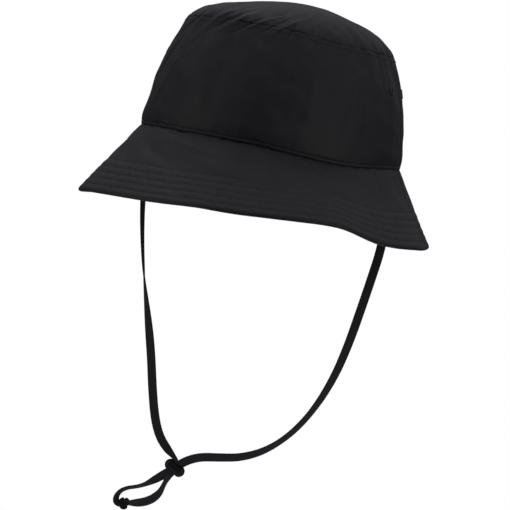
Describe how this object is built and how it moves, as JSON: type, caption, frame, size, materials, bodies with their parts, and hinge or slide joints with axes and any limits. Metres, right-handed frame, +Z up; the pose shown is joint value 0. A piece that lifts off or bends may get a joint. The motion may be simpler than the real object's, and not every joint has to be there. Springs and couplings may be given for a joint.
{
  "type": "bucket hat",
  "caption": "Soft bucket hat with an oval crown, a stitched downturned brim and a hanging chin strap with a slider.",
  "frame": {"origin": "middle of the head opening, in the plane of the seam between crown and brim", "axes": "+Z up through the crown, -Y towards the wearer's front, X through the ears"},
  "size_m": [0.243, 0.2842, 0.3623],
  "materials": {
    "shell_fabric": "plain woven nylon, faint sheen",
    "under_brim_fabric": "plain woven nylon, matte",
    "lining_fabric": "fine knitted mesh",
    "interlining": "stiff non-woven",
    "sweatband_fabric": "twill tape",
    "thread": "twisted polyester",
    "strap_webbing": "flat braid",
    "slider_rubber": "moulded, satin"
  },
  "bodies": {
    "hat": {"crown_tip": "shell_fabric", "crown_front": "shell_fabric", "crown_back": "shell_fabric", "brim_upper_front": "shell_fabric", "brim_upper_back": "shell_fabric", "brim_under_front": "under_brim_fabric", "brim_under_back": "under_brim_fabric", "tip_lining": "lining_fabric", "crown_lining_front": "lining_fabric", "crown_lining_back": "lining_fabric", "brim_interlining": "interlining", "sweatband": "sweatband_fabric", "brim_stitching": "thread", "base_topstitch": "thread", "tip_topstitch": "thread", "eyelet_left_front": "thread", "eyelet_left_back": "thread", "eyelet_right_front": "thread", "eyelet_right_back": "thread", "strap_anchor_left": "strap_webbing", "strap_anchor_right": "strap_webbing"},
    "chin_strap": {"strap_left": "strap_webbing", "strap_right": "strap_webbing", "strap_loop_upper": "strap_webbing", "strap_loop_lower": "strap_webbing", "strap_knot": "strap_webbing"},
    "slider": {"strap_slider": "slider_rubber"}
  },
  "joints": [
    {"name": "strap_swing", "type": "hinge", "parent": "hat", "child": "chin_strap", "pos_m": [0, 0, -0.0111], "axis": [1, 0, 0], "range_deg": [-60, 60]},
    {"name": "slider_slide", "type": "slide", "parent": "chin_strap", "child": "slider", "axis": [-0.6, 0, -0.8], "range_m": [0, 0.018], "deforming": ["strap_left", "strap_right", "strap_loop_upper", "strap_loop_lower"]}
  ]
}
